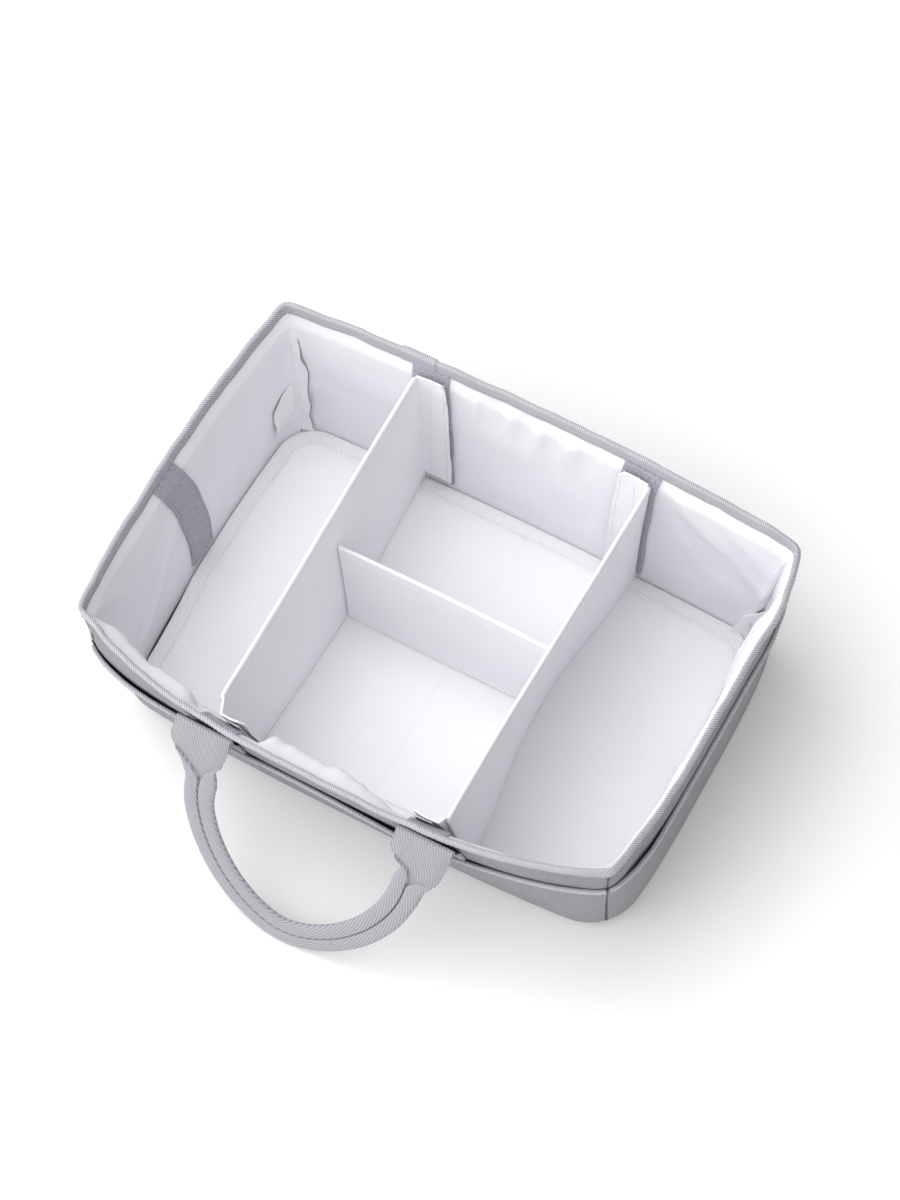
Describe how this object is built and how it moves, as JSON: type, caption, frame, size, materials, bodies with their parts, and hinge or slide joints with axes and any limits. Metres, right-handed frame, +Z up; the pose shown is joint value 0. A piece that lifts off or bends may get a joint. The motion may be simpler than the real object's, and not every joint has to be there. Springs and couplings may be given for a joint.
{
  "type": "diaper caddy",
  "caption": "Soft grey canvas diaper caddy with white nylon lining, lift-out H divider, folding floor mat, bound pockets and two drooping webbing handles",
  "frame": {"origin": "The middle of the base, on the table that the caddy stands on.", "axes": "+X runs along the caddy's length to the right as seen from its front. +Y runs from the front wall, which bulges, to the back wall. +Z is up through the open top."},
  "size_m": [0.4206, 0.4199, 0.16],
  "materials": {
    "canvas": "heathered canvas, matt",
    "twill_tape": "herringbone twill binding tape, matt",
    "webbing": "close-woven polyester webbing, matt",
    "nylon_lining": "smooth white nylon lining, slight sheen",
    "padding": "soft foam board, hidden inside the walls",
    "stiffener_board": "thin plastic board, hidden inside the base",
    "loop_pile": "short brushed loop pile, matt",
    "hook_plastic": "moulded hook tape, matt",
    "label_satin": "blank satin tape, slight sheen"
  },
  "bodies": {
    "caddy_shell": {"front_outer_panel": "canvas", "front_foam": "padding", "front_lining": "nylon_lining", "right_outer_panel": "canvas", "right_foam": "padding", "right_lining": "nylon_lining", "back_outer_panel": "canvas", "back_foam": "padding", "back_lining": "nylon_lining", "left_outer_panel": "canvas", "left_foam": "padding", "left_lining": "nylon_lining", "rim_binding": "twill_tape", "base_outer_panel": "canvas", "base_stiffener": "stiffener_board", "base_lining": "nylon_lining", "front_pocket": "canvas", "front_pocket_binding": "twill_tape", "right_pocket": "canvas", "right_pocket_binding": "twill_tape", "back_pocket": "canvas", "back_pocket_binding": "twill_tape", "left_pocket": "canvas", "left_pocket_binding": "twill_tape", "front_handle_left_leg": "webbing", "front_handle_right_leg": "webbing", "back_handle_left_leg": "webbing", "back_handle_right_leg": "webbing", "front_left_loop_strip": "loop_pile", "back_left_loop_strip": "loop_pile", "left_end_loop_strip": "loop_pile", "left_label": "label_satin", "front_right_loop_strip": "loop_pile", "back_right_loop_strip": "loop_pile", "right_end_loop_strip": "loop_pile", "right_label": "label_satin", "front_right_corner_seam": "nylon_lining", "back_right_corner_seam": "nylon_lining", "back_left_corner_seam": "nylon_lining", "front_left_corner_seam": "nylon_lining"},
    "front_handle_loop": {"front_handle": "webbing"},
    "back_handle_loop": {"back_handle": "webbing"},
    "floor_mat": {"floor_mat_left": "nylon_lining", "floor_mat_right": "nylon_lining"},
    "divider_insert": {"cross_divider": "nylon_lining", "left_divider": "nylon_lining", "right_divider": "nylon_lining"},
    "front_left_flap_body": {"front_left_flap": "nylon_lining", "front_left_hook_tape": "hook_plastic"},
    "front_right_flap_body": {"front_right_flap": "nylon_lining", "front_right_hook_tape": "hook_plastic"},
    "back_left_flap_body": {"back_left_flap": "nylon_lining", "back_left_hook_tape": "hook_plastic"},
    "back_right_flap_body": {"back_right_flap": "nylon_lining", "back_right_hook_tape": "hook_plastic"}
  },
  "joints": [
    {"name": "front_handle_swing", "type": "hinge", "parent": "caddy_shell", "child": "front_handle_loop", "pos_m": [0, -0.17413, 0.147], "axis": [-1, 0, 0], "range_deg": [0, 145]},
    {"name": "back_handle_swing", "type": "hinge", "parent": "caddy_shell", "child": "back_handle_loop", "pos_m": [0, 0.13446, 0.147], "axis": [1, 0, 0], "range_deg": [0, 145]},
    {"name": "floor_mat_lift", "type": "slide", "parent": "caddy_shell", "child": "floor_mat", "axis": [0, 0, 1], "range_m": [0, 0.2]},
    {"name": "divider_lift", "type": "slide", "parent": "floor_mat", "child": "divider_insert", "axis": [0, 0, 1], "range_m": [0, 0.2]},
    {"name": "front_left_flap_peel", "type": "hinge", "parent": "divider_insert", "child": "front_left_flap_body", "pos_m": [-0.0797, -0.12246, 0.02], "axis": [0, -0.2646, 0.9644], "range_deg": [0, 75]},
    {"name": "front_right_flap_peel", "type": "hinge", "parent": "divider_insert", "child": "front_right_flap_body", "pos_m": [0.0797, -0.12246, 0.02], "axis": [0, 0.264, -0.9645], "range_deg": [0, 75]},
    {"name": "back_left_flap_peel", "type": "hinge", "parent": "divider_insert", "child": "back_left_flap_body", "pos_m": [-0.0797, 0.11683, 0.02], "axis": [0, -0.01, -0.9999], "range_deg": [0, 75]},
    {"name": "back_right_flap_peel", "type": "hinge", "parent": "divider_insert", "child": "back_right_flap_body", "pos_m": [0.0797, 0.11685, 0.02], "axis": [0, 0.0121, 0.9999], "range_deg": [0, 75]}
  ]
}
